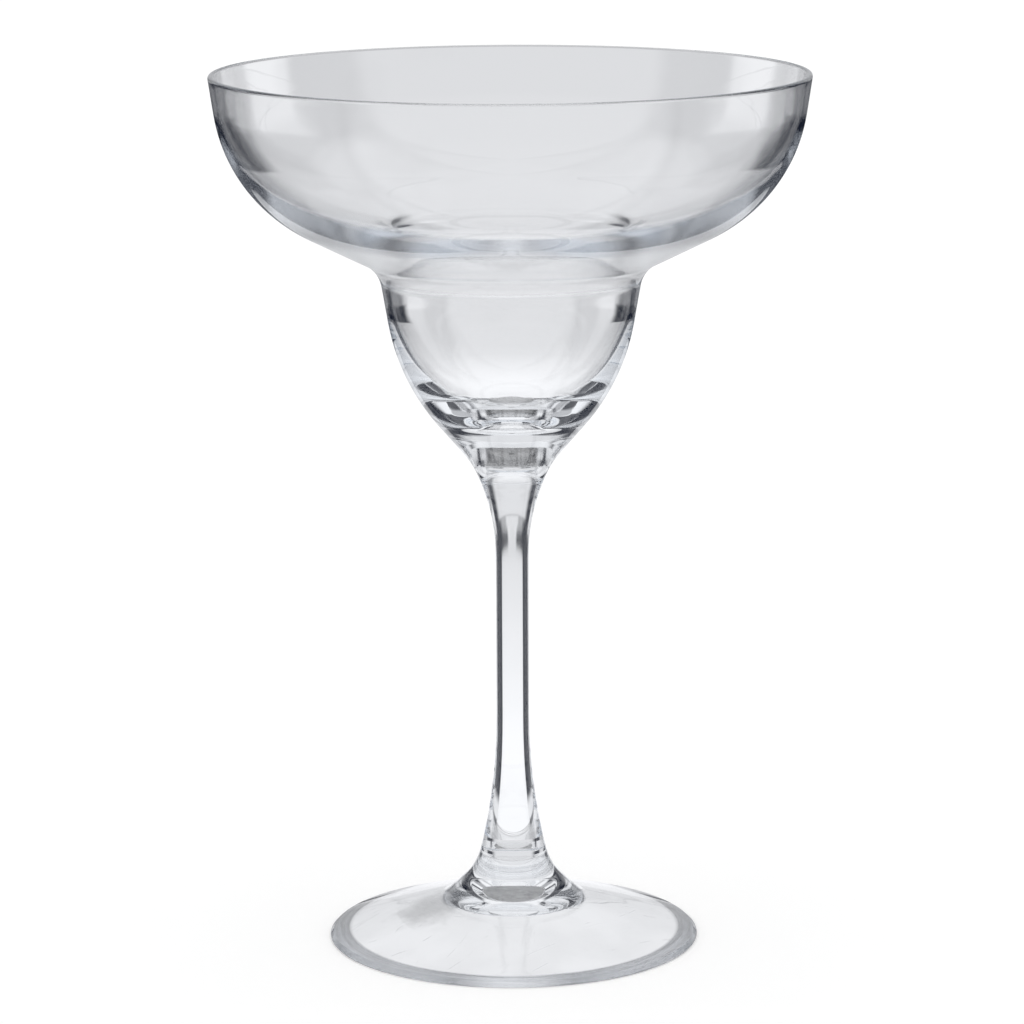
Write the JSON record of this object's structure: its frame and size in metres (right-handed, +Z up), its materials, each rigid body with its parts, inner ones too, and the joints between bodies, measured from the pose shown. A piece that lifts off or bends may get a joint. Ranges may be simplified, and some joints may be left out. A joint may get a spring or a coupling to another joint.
{
  "type": "margarita glass",
  "caption": "Clear moulded margarita glass: wide bowl over a narrow cup, solid drawn stem, hollow cone foot standing on a flat ring.",
  "frame": {"origin": "centre of the ring that the foot stands on", "axes": "+Z up along the axis of the bowl, stem and foot; every piece is round about it, so X and Y are alike"},
  "size_m": [0.1216, 0.1216, 0.18],
  "materials": {
    "clear_bowl": "polished clear styrene plastic",
    "clear_stem": "polished clear styrene plastic",
    "clear_foot": "polished clear styrene plastic, lightly scuffed"
  },
  "bodies": {
    "root": {"bowl": "clear_bowl", "stem": "clear_stem", "foot": "clear_foot"}
  },
  "joints": []
}
